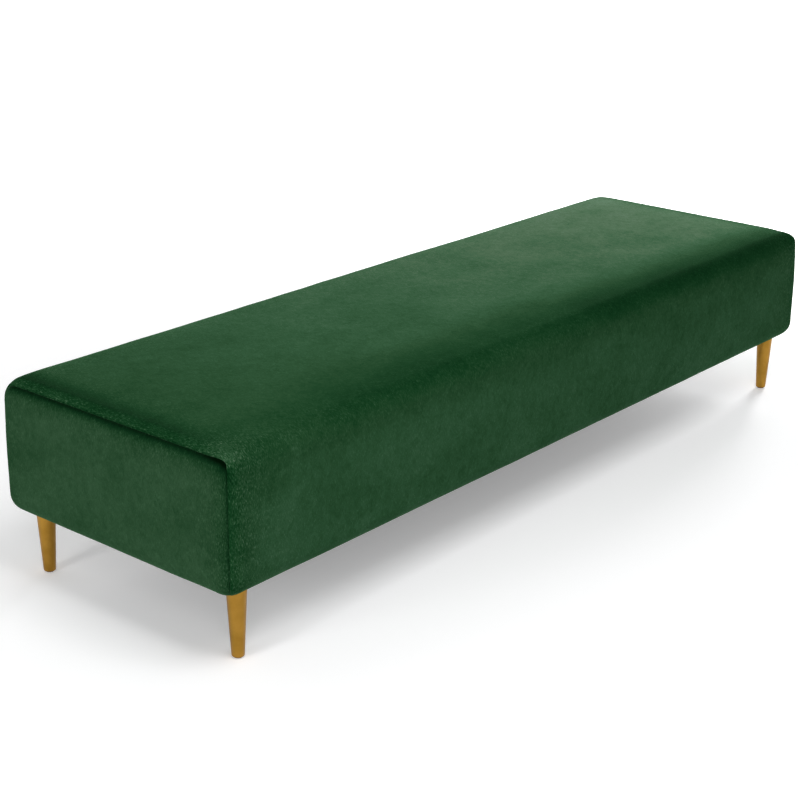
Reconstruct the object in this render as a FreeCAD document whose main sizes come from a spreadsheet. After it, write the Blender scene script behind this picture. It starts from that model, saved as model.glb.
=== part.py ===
import FreeCAD, Part
import math
import os
import Sketcher
from FreeCAD import Placement, Rotation, Vector

# A long, low upholstered bench in velvet on four turned metal legs.
# The origin is on the floor below the middle: X runs along the bench, Y across it and Z up.
# The left end is at -X, the front long side at -Y.

# Driving dimensions in millimetres, each with what it measures
SIZES = [
    ("block_length", 2000, "outside of the upholstered block along X"),
    ("block_width", 620, "outside of the block along Y, at half its height"),
    ("block_height", 274, "underside of the cover to the top of the crown"),
    ("leg_height", 136, "floor to the underside of the cover, glide included"),
    ("crown_radius", 12000, "radius of the arc that crowns the seat across its width"),
    ("side_radius", 3130, "radius of the arc that swells the long sides"),
    ("edge_roll", 38, "radius of the rolled edges all round the block"),
    ("seam_turn", 45, "how far round the rolled edge the end seam lies, in degrees"),
    ("cover_thick", 1.6, "thickness of the velvet with its backing"),
    ("cover_turn", 85, "how far in from the outside the cover runs under the frame"),
    ("crease_width", 1.2, "width of the sewn seam's crease"),
    ("crease_depth", 0.8, "depth of the sewn seam's crease"),
    ("soft_gap", 0.3, "clearance between soft layers"),
    ("wadding_thick", 6, "thickness of the wadding along the long edges"),
    ("foam_thick", 60, "thickness of the seat foam"),
    ("side_padding", 28, "outside of the block to the timber frame"),
    ("deck_thick", 12, "thickness of the plywood seat deck"),
    ("breather_dia", 30, "diameter of the air holes in the deck, one over each bay"),
    ("board_thick", 18, "thickness of the upright boards and ribs"),
    ("rib_count", 3, "number of ribs between the two end boards"),
    ("rail_width", 70, "width of the flat rails of the base frame"),
    ("rail_thick", 28, "thickness of those rails"),
    ("rail_ease", 0.5, "how far the bevelled rail edges clear the rolled cover"),
    ("least_bevel", 2, "smallest bevel on those edges"),
    ("block_side", 45, "side of the square corner blocks"),
    ("tenon_length", 25, "length of the tenons on the cross rails and end rails"),
    ("tenon_thick", 10, "thickness of the tenons, measured upwards"),
    ("tenon_shoulder", 10, "shoulder on each side of a tenon"),
    ("housing_depth", 5, "depth of the grooves in the long boards that hold the ribs"),
    ("joint_gap", 0.2, "clearance round tenons, housed ribs, inserts and studs"),
    ("leg_end_inset", 61, "end face to leg axis"),
    ("leg_side_inset", 48, "long side to leg axis"),
    ("leg_top_dia", 38.4, "turned leg at the top"),
    ("leg_foot_dia", 24, "turned leg at the foot"),
    ("leg_flats", 48, "number of flats that stand for the round of a leg"),
    ("foot_bevel", 1.5, "bevel round the foot of a leg"),
    ("stud_dia", 8, "diameter of the steel stud between leg and base frame"),
    ("stud_in_leg", 20, "length of the stud in the leg"),
    ("insert_dia", 12, "diameter of the threaded insert in the rail"),
    ("insert_length", 20, "length of the insert, which the stud fills"),
    ("glide_dia", 17, "diameter of the nylon glide under the leg"),
    ("glide_thick", 2.5, "thickness of the glide"),
    ("dust_thick", 0.8, "thickness of the spun-bonded dust cover"),
    ("dust_inset", 45, "outside of the block to the dust cover's edge"),
    ("dust_cutout", 3, "room round each leg in the dust cover"),
]

doc = FreeCAD.newDocument("Bench")
sheet = doc.addObject("Spreadsheet::Sheet", "Sizes")
for row, (alias, size, meaning) in enumerate(SIZES, start=1):
    sheet.set(f"A{row}", alias)
    sheet.set(f"B{row}", str(size))
    sheet.set(f"C{row}", meaning)
    sheet.setAlias(f"B{row}", alias)
doc.recompute()

# Sizes and levels that follow from the driving ones, as expressions on the sheet
halfLength = "Sizes.block_length / 2"
halfWidth = "Sizes.block_width / 2"
blockTop = "(Sizes.leg_height + Sizes.block_height)"
frameBottom = "(Sizes.leg_height + Sizes.cover_thick)"
railTop = f"({frameBottom} + Sizes.rail_thick)"
waddingInset = "(Sizes.cover_thick + Sizes.soft_gap)"
waddingBackInset = f"({waddingInset} + Sizes.wadding_thick)"
foamInset = f"({waddingBackInset} + Sizes.soft_gap)"
crownDrop = "(Sizes.block_width * Sizes.block_width / (8 * Sizes.crown_radius))"
foamTop = f"({blockTop} - {crownDrop} - {foamInset})"
deckTop = f"({foamTop} - Sizes.foam_thick)"
deckBottom = f"({deckTop} - Sizes.deck_thick)"
frameX = f"({halfLength} - Sizes.side_padding)"
frameY = f"({halfWidth} - Sizes.side_padding)"
boardX = f"({frameX} - Sizes.board_thick)"
boardY = f"({frameY} - Sizes.board_thick)"
railX = f"({frameX} - Sizes.rail_width)"
railY = f"({frameY} - Sizes.rail_width)"
bayPitch = f"(2 * {boardX} / (Sizes.rib_count + 1))"
legX = f"({halfLength} - Sizes.leg_end_inset)"
legY = f"({halfWidth} - Sizes.leg_side_inset)"
seamInset = "(Sizes.edge_roll * (1 - cos(Sizes.seam_turn)))"
studR = "Sizes.stud_dia / 2"
studFloor = "Sizes.leg_height - Sizes.stud_in_leg"
insertTop = f"({frameBottom} + Sizes.insert_length)"
mitreTop = "(Sizes.leg_height + Sizes.edge_roll)"
swell = "(Sizes.block_height * Sizes.block_height / (8 * Sizes.side_radius))"
railBevel = f"max(Sizes.edge_roll + {swell} - Sizes.side_padding + Sizes.rail_ease; Sizes.least_bevel)"
bevelShare = "0.75"  # bevel of the foam's edges as a share of the roll's radius there
creaseShare = "0.6"  # of the velvet's thickness, the deepest that a crease goes
margin = "20"  # how far a cutting tool reaches past what it cuts
closeBy = 0.01  # how near a measured point counts as on a plane
closingSteps = 40  # rounds of closing in on the height where two arcs meet

ENDS = (("left", -1), ("right", 1))
SIDES = (("front", -1), ("back", 1))
pieces = {}


def value(expression):
    return float(sheet.evalExpression(expression))


def bind(item, **expressions):
    for name, expression in expressions.items():
        item.setExpression(name, expression)


def place(item, alongX, acrossY, upZ):
    item.setExpression("Placement.Base.x", alongX)
    item.setExpression("Placement.Base.y", acrossY)
    item.setExpression("Placement.Base.z", upZ)


def keep(label, item):
    item.Label = label
    pieces[label] = item


def block(name, spanX, spanY, spanZ):
    """A box between two expressions along each axis."""
    box = doc.addObject("Part::Box", name)
    bind(
        box,
        Length=f"({spanX[1]}) - ({spanX[0]})",
        Width=f"({spanY[1]}) - ({spanY[0]})",
        Height=f"({spanZ[1]}) - ({spanZ[0]})",
    )
    place(box, spanX[0], spanY[0], spanZ[0])
    return box


def cut(name, base, tool):
    result = doc.addObject("Part::Cut", name)
    result.Base = base
    result.Tool = tool
    return result


def common(name, base, tool):
    result = doc.addObject("Part::Common", name)
    result.Base = base
    result.Tool = tool
    return result


def join(name, items):
    result = doc.addObject("Part::MultiFuse", name)
    result.Shapes = items
    return result


def mirrored(sign, low, high):
    """The span from low to high on the + side, or its mirror image on the - side."""
    return (low, high) if sign > 0 else (f"-({high})", f"-({low})")


def newBody(name):
    return doc.addObject("PartDesign::Body", name)


def newSketch(body, name, role):
    sketch = body.newObject("Sketcher::SketchObject", name)
    plane = next(f for f in body.Origin.OriginFeatures if f.Role == role)
    sketch.AttachmentSupport = [(plane, "")]
    sketch.MapMode = "FlatFace"
    return sketch


def fixPoint(sketch, geometry, position, alongX, alongY):
    """Holds a point of the sketch at two expressions from the sketch's origin."""
    for kind, expression in (("DistanceX", alongX), ("DistanceY", alongY)):
        datum = Sketcher.Constraint(kind, -1, 1, geometry, position, value(expression))
        index = sketch.addConstraint(datum)
        sketch.setExpression(f"Constraints[{index}]", expression)


def outline(sketch, corners):
    """Closes straight lines through corners that are given as pairs of expressions."""
    points = [Vector(value(a), value(b), 0) for a, b in corners]
    count = len(corners)
    for index in range(count):
        line = Part.LineSegment(points[index], points[(index + 1) % count])
        sketch.addGeometry(line, False)
    for index in range(count):
        sketch.addConstraint(Sketcher.Constraint("Coincident", index, 2, (index + 1) % count, 1))
    for index, (a, b) in enumerate(corners):
        fixPoint(sketch, index, 1, a, b)


def cornersOf(spanX, spanY):
    """The corners of a rectangle between two expressions along each axis."""
    return [(spanX[0], spanY[0]), (spanX[1], spanY[0]), (spanX[1], spanY[1]), (spanX[0], spanY[1])]


def rectangle(reachX, reachY):
    """The corners of a rectangle about the origin."""
    return cornersOf((f"-{reachX}", reachX), (f"-{reachY}", reachY))


def pad(body, sketch, length, symmetric=False):
    feature = body.newObject("PartDesign::Pad", sketch.Name + "Pad")
    feature.Profile = sketch
    feature.SideType = "Symmetric" if symmetric else "One side"
    bind(feature, Length=length)
    doc.recompute()
    return feature


def dress(body, feature, kind, sizeName, size, wanted=None):
    """Rounds (Fillet) or bevels (Chamfer) the edges that the function wanted picks, or all."""
    picked = enumerate(feature.Shape.Edges, start=1)
    names = [f"Edge{n}" for n, edge in picked if wanted is None or wanted(edge)]
    result = body.newObject(f"PartDesign::{kind}", feature.Name + kind)
    result.Base = (feature, names)
    bind(result, **{sizeName: size})
    doc.recompute()
    return result


def middle(edge):
    return edge.valueAt((edge.FirstParameter + edge.LastParameter) / 2)


def rod(name, radius, low, high):
    """A round rod about the origin's Z axis, between two levels."""
    cylinder = doc.addObject("Part::Cylinder", name)
    bind(cylinder, Radius=radius, Height=f"({high}) - ({low})")
    place(cylinder, "0", "0", low)
    return cylinder


def group(label, master, spots):
    """Separate solids, each a copy of the master at one placement."""
    feature = doc.addObject("Part::Feature", label)
    copies = []
    for spot in spots:
        copy = master.Shape.copy()
        copy.Placement = spot.multiply(copy.Placement)
        copies.append(copy)
    feature.Shape = Part.makeCompound(copies)
    return feature


# The padded block: a crowned top, swelled sides and rolled edges, drawn in by an inset.
# Nested forms of this kind bound the cover and the outside of the wadding.
def softForm(name, inset):
    body = newBody(name)
    sketch = newSketch(body, name + "Section", "YZ_Plane")
    sideCentre = value(f"{halfWidth} - Sizes.side_radius")
    middleUp = value("Sizes.block_height / 2")
    crownCentre = value("Sizes.block_height - Sizes.crown_radius")
    low = value(inset)
    sideR = value("Sizes.side_radius") - low
    crownR = value("Sizes.crown_radius") - low
    bottomY = sideCentre + math.sqrt(sideR**2 - (middleUp - low) ** 2)
    topY, topZ = meetingPoint(sideCentre, middleUp, sideR, crownCentre, crownR)

    sketch.addGeometry(Part.LineSegment(Vector(-bottomY, low, 0), Vector(bottomY, low, 0)), False)
    for centre, radius, start, end in (
        ((sideCentre, middleUp), sideR, (bottomY, low), (topY, topZ)),
        ((0, crownCentre), crownR, (topY, topZ), (-topY, topZ)),
        ((-sideCentre, middleUp), sideR, (-topY, topZ), (-bottomY, low)),
    ):
        circle = Part.Circle(Vector(*centre, 0), Vector(0, 0, 1), radius)
        first = math.atan2(start[1] - centre[1], start[0] - centre[0])
        last = math.atan2(end[1] - centre[1], end[0] - centre[0])
        last += 2 * math.pi if last < first else 0
        sketch.addGeometry(Part.ArcOfCircle(circle, first, last), False)
    for index in range(4):
        sketch.addConstraint(Sketcher.Constraint("Coincident", index, 2, (index + 1) % 4, 1))
    sketch.addConstraint(Sketcher.Constraint("Horizontal", 0))
    level = sketch.addConstraint(Sketcher.Constraint("DistanceY", -1, 1, 0, 1, low))
    sketch.setExpression(f"Constraints[{level}]", inset)
    fixPoint(sketch, 1, 3, f"{halfWidth} - Sizes.side_radius", "Sizes.block_height / 2")
    fixPoint(sketch, 2, 3, "0", "Sizes.block_height - Sizes.crown_radius")
    fixPoint(sketch, 3, 3, f"Sizes.side_radius - {halfWidth}", "Sizes.block_height / 2")
    for arc, radius in ((1, "side_radius"), (2, "crown_radius"), (3, "side_radius")):
        now = sketch.Geometry[arc].Radius
        index = sketch.addConstraint(Sketcher.Constraint("Radius", arc, now))
        sketch.setExpression(f"Constraints[{index}]", f"Sizes.{radius} - {inset}")
    doc.recompute()

    solid = pad(body, sketch, f"Sizes.block_length - 2 * {inset}", symmetric=True)
    dress(body, solid, "Fillet", "Radius", f"Sizes.edge_roll - {inset}")
    bind(body, **{"Placement.Base.z": "Sizes.leg_height"})
    return body


def meetingPoint(sideCentre, sideLevel, sideR, crownCentre, crownR):
    """Where the side arc meets the crown arc, by closing in on the height."""
    up = crownCentre + crownR
    for step in range(closingSteps):
        across = sideCentre + math.sqrt(sideR**2 - (up - sideLevel) ** 2)
        up = crownCentre + math.sqrt(crownR**2 - across**2)
    return across, up


# A square-cut block with bevelled edges, as foam is cut: the wadding on it makes the crown and the swell
def foamBlock(name, inset):
    body = newBody(name)
    plan = newSketch(body, name + "Plan", "XY_Plane")
    reachX, reachY = f"({halfLength} - {inset})", f"({halfWidth} - {swell} - {inset})"
    outline(plan, rectangle(reachX, reachY))
    solid = pad(body, plan, f"Sizes.block_height - {crownDrop} - 2 * {inset}")
    dress(body, solid, "Chamfer", "Size", f"{bevelShare} * (Sizes.edge_roll - {inset})")
    bind(body, **{"Placement.Base.z": f"Sizes.leg_height + {inset}"})
    return body


outerForm = softForm("OuterForm", "0")
liningForm = softForm("LiningForm", "Sizes.cover_thick")
creaseForm = softForm("CreaseForm", f"min(Sizes.crease_depth; {creaseShare} * Sizes.cover_thick)")
waddingForm = softForm("WaddingForm", waddingInset)
waddingBack = foamBlock("WaddingBack", waddingBackInset)
foamForm = foamBlock("FoamForm", foamInset)

# What belongs to an end panel: everything past the end seam, and below it the
# part of the turned-under edge between the two mitres at the corners
across = (f"-{halfWidth} - {margin}", f"{halfWidth} + {margin}")
endZones = {}
for end, sign in ENDS:
    upper = block(
        f"UpperZone_{end}",
        mirrored(sign, f"{halfLength} - {seamInset}", f"{halfLength} + {margin}"),
        across,
        (mitreTop, f"{blockTop} + {margin}"),
    )
    wedge = newBody(f"MitreZone_{end}")
    plan = newSketch(wedge, f"MitrePlan_{end}", "XY_Plane")
    deep = f"(Sizes.cover_turn + {margin})"
    outline(
        plan,
        [
            (f"{sign} * ({halfLength} + {margin})", f"-{halfWidth} - {margin}"),
            (f"{sign} * ({halfLength} + {margin})", f"{halfWidth} + {margin}"),
            (f"{sign} * ({halfLength} - {deep})", f"{halfWidth} - {deep}"),
            (f"{sign} * ({halfLength} - {deep})", f"-{halfWidth} + {deep}"),
        ],
    )
    pad(wedge, plan, f"Sizes.edge_roll + {margin}")
    bind(wedge, **{"Placement.Base.z": f"Sizes.leg_height - {margin}"})
    endZones[end] = join(f"EndZone_{end}", [upper, wedge])
bothEnds = join("BothEndZones", list(endZones.values()))

# Velvet cover: one long panel over front, top and back, and two sewn-in end panels.
# Along the end seams the velvet sinks into a narrow crease.
creases = []
for end, sign in ENDS:
    strip = block(
        f"CreaseStrip_{end}",
        mirrored(
            sign,
            f"{halfLength} - {seamInset} - Sizes.crease_width / 2",
            f"{halfLength} - {seamInset} + Sizes.crease_width / 2",
        ),
        across,
        (mitreTop, f"{blockTop} + {margin}"),
    )
    creases.append(cut(f"Crease_{end}", strip, creaseForm))
underWindow = block(
    "UnderWindow",
    (f"-{halfLength} + Sizes.cover_turn", f"{halfLength} - Sizes.cover_turn"),
    (f"-{halfWidth} + Sizes.cover_turn", f"{halfWidth} - Sizes.cover_turn"),
    (f"Sizes.leg_height - {margin}", f"Sizes.leg_height + {margin}"),
)
studHole = rod("StudHole", f"{studR} + Sizes.joint_gap", studFloor, insertTop)
legRoom = rod(
    "LegRoom",
    "Sizes.leg_top_dia / 2 + Sizes.dust_cutout",
    f"Sizes.leg_height - {margin}",
    f"Sizes.leg_height + {margin}",
)
doc.recompute()

legSpots = {
    f"{side}_{end}": Placement(Vector(signX * value(legX), signY * value(legY), 0), Rotation())
    for end, signX in ENDS
    for side, signY in SIDES
}
studHoles = group("StudHoles", studHole, legSpots.values())
legRooms = group("LegRooms", legRoom, legSpots.values())
skin = cut("Skin", outerForm, liningForm)
trimmed = cut("TrimmedSkin", skin, join("SkinOpenings", [underWindow, studHoles] + creases))
keep("cover_wrap", cut("CoverWrap", trimmed, bothEnds))
for end, sign in ENDS:
    keep(f"cover_end_{end}", common(f"CoverEnd_{end}", trimmed, endZones[end]))

# Wadding under the cover, trimmed where the timber frame starts
frameRoom = block(
    "FrameRoom",
    (f"-{frameX}", frameX),
    (f"-{frameY}", frameY),
    ("Sizes.leg_height", deckTop),
)
keep("wadding", cut("Wadding", cut("WaddingSkin", waddingForm, waddingBack), frameRoom))

# Foam: a seat slab over pads on the four sides
outside = f"({halfLength} + {margin})"
seatRoom = block("SeatRoom", (f"-{outside}", outside), across, (deckTop, f"{blockTop} + {margin}"))
keep("seat_foam", common("SeatFoam", foamForm, seatRoom))
for side, sign in SIDES:
    room = block(
        f"SidePadRoom_{side}",
        (f"-{outside}", outside),
        mirrored(sign, frameY, f"{halfWidth} + {margin}"),
        ("Sizes.leg_height", deckTop),
    )
    keep(f"{side}_side_pad", common(f"SidePad_{side}", foamForm, room))
for end, sign in ENDS:
    room = block(
        f"EndPadRoom_{end}",
        mirrored(sign, frameX, outside),
        (f"-{frameY}", frameY),
        ("Sizes.leg_height", deckTop),
    )
    keep(f"{end}_end_pad", common(f"EndPad_{end}", foamForm, room))

# Steel studs: each fills an insert that is sunk in the rail, and reaches down into a leg
insertR = "Sizes.insert_dia / 2"
stud = rod("Stud", studR, f"{studFloor} + Sizes.joint_gap", insertTop)
insertBore = rod("InsertBore", f"{studR} + Sizes.joint_gap", frameBottom, insertTop)
insert = cut("Insert", rod("InsertRound", insertR, frameBottom, insertTop), insertBore)
insertHole = rod("InsertHole", f"{insertR} + Sizes.joint_gap", frameBottom, f"{insertTop} + Sizes.joint_gap")
doc.recompute()
keep("leg_studs", group("leg_studs", stud, legSpots.values()))
keep("rail_inserts", group("rail_inserts", insert, legSpots.values()))
insertHoles = group("InsertHoles", insertHole, legSpots.values())

# Base frame: rails across it end in tenons, and the two long rails have the mortises
ribCount = int(value("Sizes.rib_count"))
centres = {n: f"({bayPitch} * {n} - {boardX})" for n in range(1, ribCount + 1)}
endRailX = f"({frameX} - Sizes.rail_width / 2)"
tenonLow = f"({frameBottom} + (Sizes.rail_thick - Sizes.tenon_thick) / 2)"
mortises = []


def tenoned(name, rail, centre):
    """Adds a tenon at both ends of a rail that lies across the frame at a centre."""
    for use, gap in (("Tenon", "0"), ("Mortise", "Sizes.joint_gap")):
        half = f"(Sizes.rail_width / 2 - Sizes.tenon_shoulder + {gap})"
        reach = f"({railY} + Sizes.tenon_length + {gap})"
        bar = block(
            f"{use}_{name}",
            (f"{centre} - {half}", f"{centre} + {half}"),
            (f"-{reach}", reach),
            (f"{tenonLow} - {gap}", f"{tenonLow} + Sizes.tenon_thick + {gap}"),
        )
        if use == "Tenon":
            result = join(f"Tenoned_{name}", [rail, bar])
        else:
            mortises.append(bar)
    return result


def outerRail(name, corners):
    """A flat rail whose lower outside edges are bevelled where the cover rolls round them."""
    body = newBody("Blank_" + name)
    sketch = newSketch(body, "Plan_" + name, "XY_Plane")
    outline(sketch, corners)
    solid = pad(body, sketch, "Sizes.rail_thick")
    reachX, reachY = value(frameX), value(frameY)
    dress(
        body,
        solid,
        "Chamfer",
        "Size",
        railBevel,
        lambda edge: abs(middle(edge).z) < closeBy
        and (abs(abs(middle(edge).x) - reachX) < closeBy or abs(abs(middle(edge).y) - reachY) < closeBy),
    )
    bind(body, **{"Placement.Base.z": frameBottom})
    return body


for end, sign in ENDS:
    blank = outerRail(f"{end}_rail", cornersOf(mirrored(sign, railX, frameX), (f"-{railY}", railY)))
    keep(f"{end}_rail", tenoned(end, blank, f"({sign} * {endRailX})"))
for number, centre in centres.items():
    rail = block(
        f"CrossRail_{number}",
        (f"{centre} - Sizes.rail_width / 2", f"{centre} + Sizes.rail_width / 2"),
        (f"-{railY}", railY),
        (frameBottom, railTop),
    )
    keep(f"cross_rail_{number}", tenoned(number, rail, centre))
railCuts = join("RailCuts", mortises)
for side, sign in SIDES:
    blank = outerRail(f"{side}_rail", cornersOf((f"-{frameX}", frameX), mirrored(sign, railY, frameY)))
    keep(f"{side}_rail", cut(f"Bored_{side}", cut(f"Mortised_{side}", blank, railCuts), insertHoles))

# Ribs that stand on the cross rails, housed in grooves of the long boards
grooves = []
for number, centre in centres.items():
    for use, gap in (("Rib", "0"), ("Groove", "Sizes.joint_gap")):
        reach = f"({boardY} + Sizes.housing_depth + {gap})"
        half = f"(Sizes.board_thick / 2 + {gap})"
        slab = block(
            f"{use}_{number}",
            (f"{centre} - {half}", f"{centre} + {half}"),
            (f"-{reach}", reach),
            (railTop, deckBottom),
        )
        if use == "Rib":
            keep(f"rib_{number}", slab)
        else:
            grooves.append(slab)
grooving = join("Grooving", grooves)

# Upright boards on the rails, with a block in each corner
for side, sign in SIDES:
    spanX, spanY = (f"-{frameX}", frameX), mirrored(sign, boardY, frameY)
    board = block(f"Board_{side}", spanX, spanY, (railTop, deckBottom))
    keep(f"{side}_board", cut(f"Grooved_{side}", board, grooving))
for end, sign in ENDS:
    spanX, spanY = mirrored(sign, boardX, frameX), (f"-{boardY}", boardY)
    keep(f"{end}_end_board", block(f"Board_{end}", spanX, spanY, (railTop, deckBottom)))
    for side, signY in SIDES:
        post = block(
            f"Post_{side}_{end}",
            mirrored(sign, f"{boardX} - Sizes.block_side", boardX),
            mirrored(signY, f"{boardY} - Sizes.block_side", boardY),
            (railTop, deckBottom),
        )
        keep(f"corner_block_{side}_{end}", post)

# Seat deck, with an air hole over each bay
deck = newBody("DeckBlank")
deckPlan = newSketch(deck, "DeckPlan", "XY_Plane")
outline(deckPlan, rectangle(frameX, frameY))
deckSlab = pad(deck, deckPlan, "Sizes.deck_thick")
airPlan = newSketch(deck, "AirHolePlan", "XY_Plane")
firstX = f"{bayPitch} / 2 - {boardX}"
airRound = Part.Circle(Vector(value(firstX), 0, 0), Vector(0, 0, 1), value("Sizes.breather_dia / 2"))
airPlan.addGeometry(airRound, False)
fixPoint(airPlan, 0, 3, firstX, "0")
radius = airPlan.addConstraint(Sketcher.Constraint("Radius", 0, value("Sizes.breather_dia / 2")))
airPlan.setExpression(f"Constraints[{radius}]", "Sizes.breather_dia / 2")
airHoles = deck.newObject("PartDesign::Pocket", "AirHoles")
airHoles.Profile = airPlan
airHoles.Type = "ThroughAll"
airHoles.Reversed = True
doc.recompute()
if airHoles.Shape.Volume >= deckSlab.Shape.Volume:
    raise RuntimeError("the air holes miss the deck")
airRow = deck.newObject("PartDesign::LinearPattern", "AirHoleRow")
airRow.Originals = [airHoles]
airRow.Direction = (airPlan, ["H_Axis"])
airRow.Occurrences = ribCount + 1
bind(airRow, Length=f"{bayPitch} * Sizes.rib_count")
deck.Tip = airRow
bind(deck, **{"Placement.Base.z": deckBottom})
keep("deck_board", deck)

# Tapered metal legs on flat nylon glides. The turned cone is drawn with many narrow flats:
# a straight pad of the foot's outline, whose sides then lean out by a draft.
flatCount = int(value("Sizes.leg_flats"))
footCorners = [
    (f"Sizes.leg_foot_dia / 2 * cos({turn})", f"Sizes.leg_foot_dia / 2 * sin({turn})")
    for turn in (f"({n} * 360 / Sizes.leg_flats)" for n in range(flatCount))
]
legLength = "(Sizes.leg_height - Sizes.glide_thick)"
legLean = f"atan((Sizes.leg_top_dia - Sizes.leg_foot_dia) / 2 * cos(180 / Sizes.leg_flats) / {legLength})"
legBody = newBody("LegBody")
foot = newSketch(legBody, "Foot", "XY_Plane")
outline(foot, footCorners)
shaft = pad(legBody, foot, legLength)
shaftFaces = list(enumerate(shaft.Shape.Faces, start=1))
lean = legBody.newObject("PartDesign::Draft", "Lean")
lean.Base = (shaft, [f"Face{n}" for n, face in shaftFaces if abs(face.normalAt(0, 0).z) < closeBy])
lean.NeutralPlane = (shaft, [f"Face{n}" for n, face in shaftFaces if abs(face.CenterOfMass.z) < closeBy])
lean.Reversed = True
bind(lean, Angle=legLean)
doc.recompute()
dress(legBody, lean, "Chamfer", "Size", "Sizes.foot_bevel", lambda edge: edge.BoundBox.ZMax < closeBy)
place(legBody, "0", "0", "Sizes.glide_thick")
boredLeg = cut("BoredLeg", legBody, studHole)
glide = rod("Glide", "Sizes.glide_dia / 2", "0", "Sizes.glide_thick")
doc.recompute()
for name, spot in legSpots.items():
    keep(f"leg_{name}", group(f"leg_{name}", boredLeg, [spot]))
    keep(f"glide_{name}", group(f"glide_{name}", glide, [spot]))

# Dust cover under the frame, cut out round the legs
dustSheet = block(
    "DustSheet",
    (f"-{halfLength} + Sizes.dust_inset", f"{halfLength} - Sizes.dust_inset"),
    (f"-{halfWidth} + Sizes.dust_inset", f"{halfWidth} - Sizes.dust_inset"),
    ("Sizes.leg_height - Sizes.dust_thick", "Sizes.leg_height"),
)
keep("dust_cover", cut("DustCover", dustSheet, legRooms))

doc.recompute()
for item in doc.Objects:
    if "Invalid" in item.State or "Error" in item.State:
        raise RuntimeError(f"{item.Label} failed: {item.State}")
for label, item in pieces.items():
    if item.Shape.isNull() or not item.Shape.isValid() or not item.Shape.Solids:
        raise RuntimeError(f"{label} has no valid solid")

os.makedirs("parts", exist_ok=True)
for label, item in pieces.items():
    item.Shape.exportStep(f"parts/{label}.step")
    print(f"{label}: {len(item.Shape.Solids)} solid, {item.Shape.Volume / 1000:.1f} cm3")
print(f"{len(pieces)} nodes")
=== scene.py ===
import math

import bpy
import numpy as np
from mathutils import Matrix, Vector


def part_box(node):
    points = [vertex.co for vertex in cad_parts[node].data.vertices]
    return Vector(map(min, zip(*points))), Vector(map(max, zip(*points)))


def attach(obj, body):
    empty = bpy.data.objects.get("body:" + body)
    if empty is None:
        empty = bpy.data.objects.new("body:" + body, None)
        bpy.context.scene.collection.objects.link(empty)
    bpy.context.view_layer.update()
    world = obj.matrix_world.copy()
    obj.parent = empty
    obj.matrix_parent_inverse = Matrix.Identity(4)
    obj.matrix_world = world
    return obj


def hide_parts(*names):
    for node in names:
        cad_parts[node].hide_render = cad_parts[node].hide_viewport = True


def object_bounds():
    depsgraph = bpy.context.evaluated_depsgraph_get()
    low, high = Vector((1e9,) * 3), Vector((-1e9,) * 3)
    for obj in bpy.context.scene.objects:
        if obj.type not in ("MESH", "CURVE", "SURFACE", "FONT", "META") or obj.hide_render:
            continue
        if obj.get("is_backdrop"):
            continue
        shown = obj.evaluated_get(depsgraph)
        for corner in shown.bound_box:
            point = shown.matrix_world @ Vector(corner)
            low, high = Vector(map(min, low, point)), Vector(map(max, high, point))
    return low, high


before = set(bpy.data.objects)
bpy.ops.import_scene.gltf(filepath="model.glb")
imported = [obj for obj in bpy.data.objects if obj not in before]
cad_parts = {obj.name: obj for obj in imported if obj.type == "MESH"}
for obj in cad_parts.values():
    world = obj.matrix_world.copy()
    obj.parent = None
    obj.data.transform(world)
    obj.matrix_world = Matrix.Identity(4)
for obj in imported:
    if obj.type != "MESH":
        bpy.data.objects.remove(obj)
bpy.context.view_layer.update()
scene = bpy.context.scene
print("frame loaded with", len(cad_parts), "nodes")

oneBand = 0.318  # the scale at which a wave texture has one band a unit
mm = 0.001  # sizes below are in millimetres unless a note says otherwise; meshes are in metres
left, right = -1, 1
front, back = -1, 1


def linear(hexColour):
    # an sRGB hex colour as the linear RGBA that a shader socket takes
    channels = [int(hexColour[i:i + 2], 16) / 255 for i in (0, 2, 4)]
    return [c / 12.92 if c <= 0.04045 else ((c + 0.055) / 1.055) ** 2.4 for c in channels] + [1.0]


def addNode(material, kind, inputs=None, **settings):
    # inputs: socket name or number -> a value, an output of another node, or a node for its first output
    node = material.node_tree.nodes.new("ShaderNode" + kind)
    for name, setting in settings.items():
        setattr(node, name, setting)
    for socket, value in (inputs or {}).items():
        if isinstance(value, bpy.types.Node):
            value = value.outputs[0]
        if isinstance(value, bpy.types.NodeSocket):
            material.node_tree.links.new(value, node.inputs[socket])
        else:
            node.inputs[socket].default_value = value
    return node


def newMaterial(name, attribute=None):
    # an empty material, and the place that its patterns read: Object coordinates or the mesh's own attribute
    material = bpy.data.materials.new(name)
    material.use_nodes = True
    material.node_tree.nodes.clear()
    if attribute:
        return material, addNode(material, "Attribute", attribute_name=attribute).outputs["Vector"]
    return material, addNode(material, "TexCoord").outputs["Object"]


def finishMaterial(material, colour, relief, sockets):
    # The shader with its sockets. colour: the value that picks it, then pairs of (position, hex colour), lowest
    # first; relief: the value that gives the height, how strong it is and how many metres deep
    ramp = addNode(material, "ValToRGB", {"Fac": colour[0]})
    elements = ramp.color_ramp.elements
    while len(elements) < len(colour) - 1:
        elements.new(0.5)
    for element, (position, tone) in zip(elements, colour[1:]):
        element.position = position
        element.color = linear(tone)
    height, strength, depth = relief
    bump = addNode(material, "Bump", {"Height": height, "Strength": strength, "Distance": depth})
    shader = addNode(material, "BsdfPrincipled", {"Base Color": ramp, "Normal": bump, **sockets})
    addNode(material, "OutputMaterial", {"Surface": shader})
    return material


def stops(start, *runs):
    # positions from start on, each run being (its end, how many steps)
    parts = [np.array([start], float)]
    for end, steps in runs:
        parts.append(np.linspace(parts[-1][-1], end, max(2, round(steps)) + 1)[1:])
    return np.concatenate(parts)


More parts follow.
